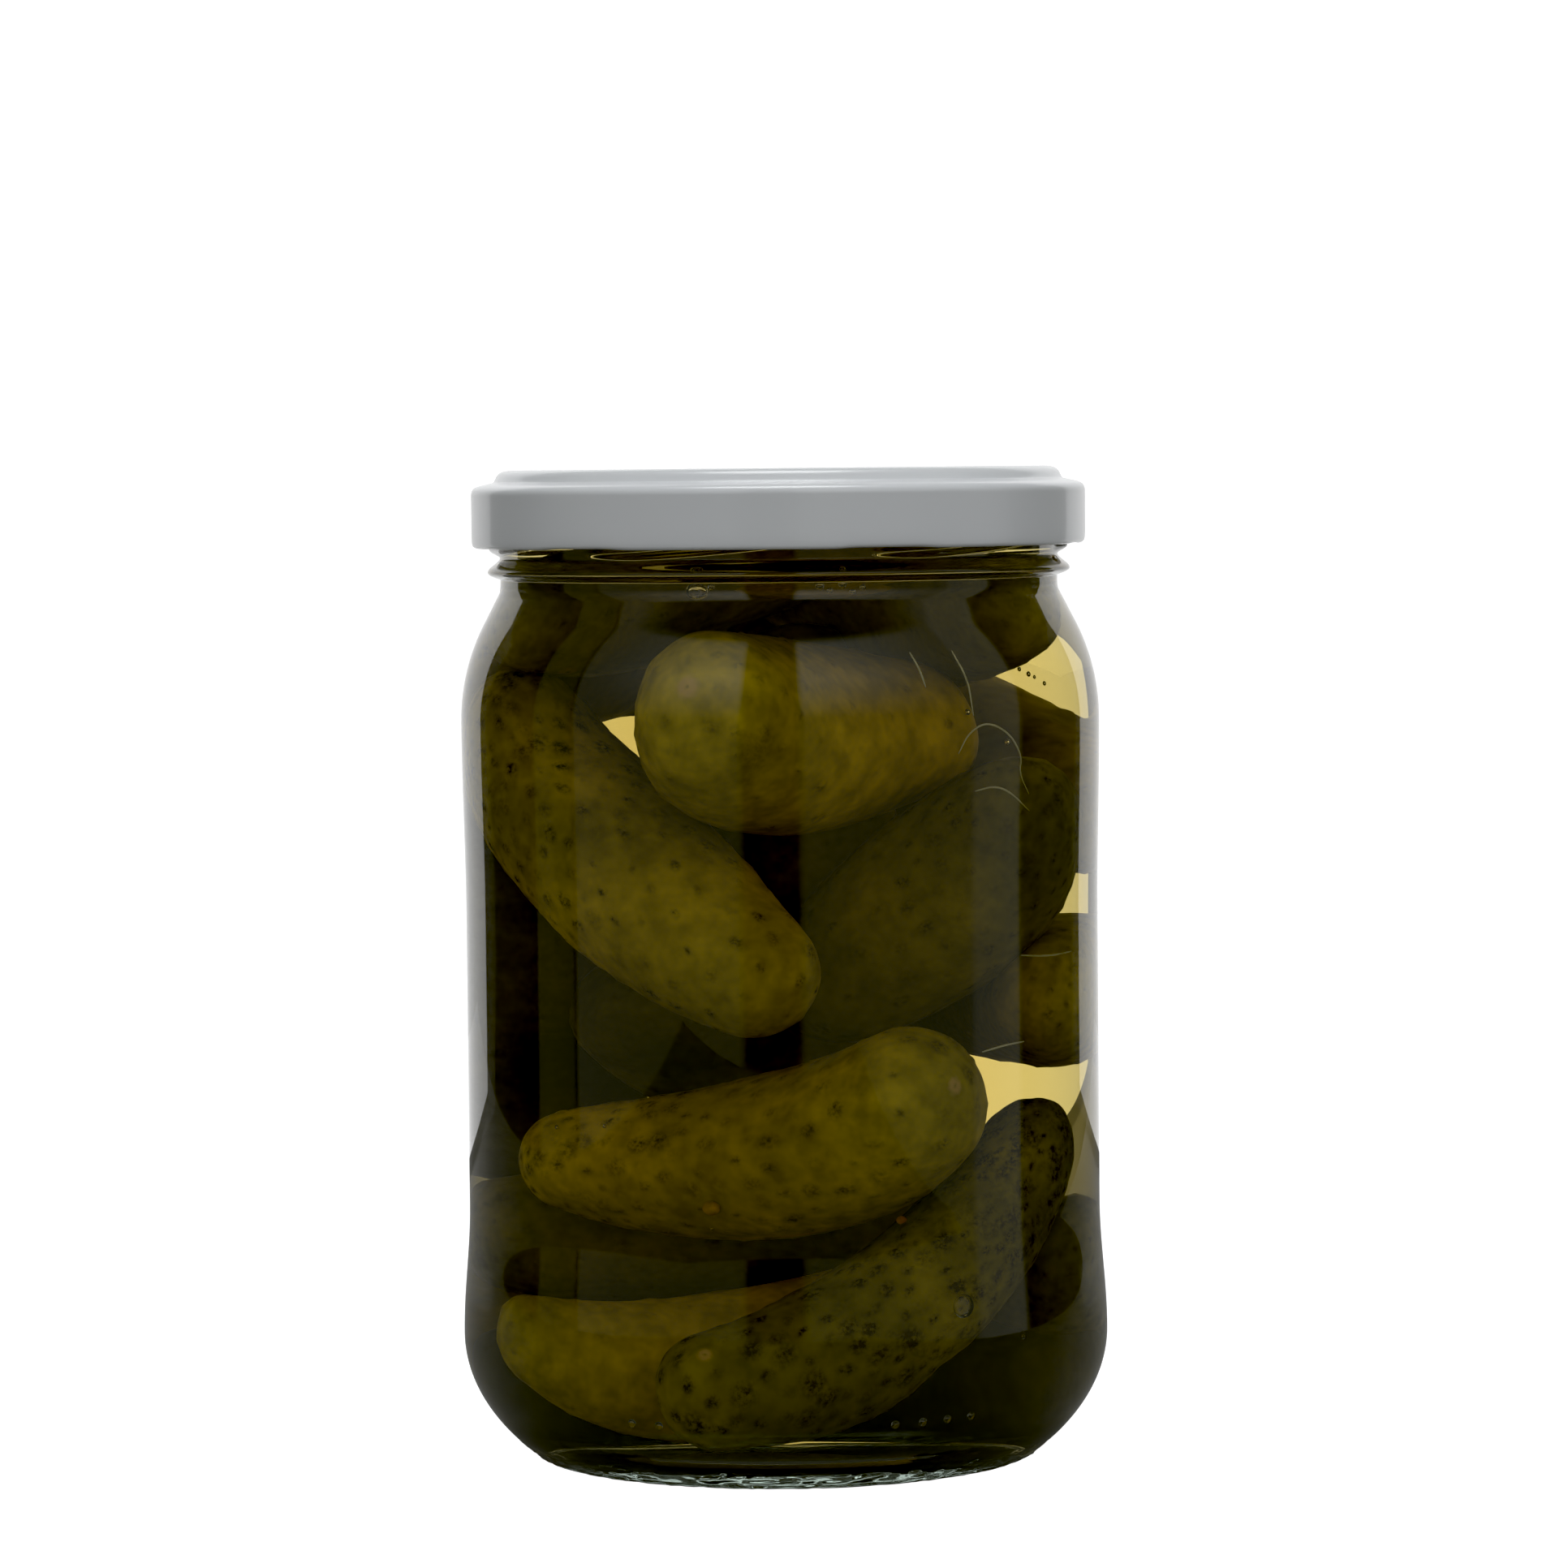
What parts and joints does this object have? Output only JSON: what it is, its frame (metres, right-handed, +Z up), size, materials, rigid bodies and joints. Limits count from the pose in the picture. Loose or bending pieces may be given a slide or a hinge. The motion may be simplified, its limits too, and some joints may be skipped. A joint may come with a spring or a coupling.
{
  "type": "preserving jar of gherkins",
  "caption": "Clear round glass preserving jar with a white steel twist-off lid, packed with whole pickled gherkins in brine.",
  "frame": {"origin": "centre of the jar's foot, on the surface it stands on", "axes": "+Z up along the jar's axis, -Y is the front that the picture shows, +X is the viewer's right"},
  "size_m": [0.0896, 0.0896, 0.1367],
  "materials": {
    "glass": "clear, very slightly green, smooth with a stippled foot",
    "lid": "white lacquer, semi-gloss",
    "gherkins": "olive green pickled skin, wet, with darker warts"
  },
  "bodies": {
    "root": {"jar": "glass", "lid": "lid", "gherkins": "gherkins"}
  },
  "joints": []
}
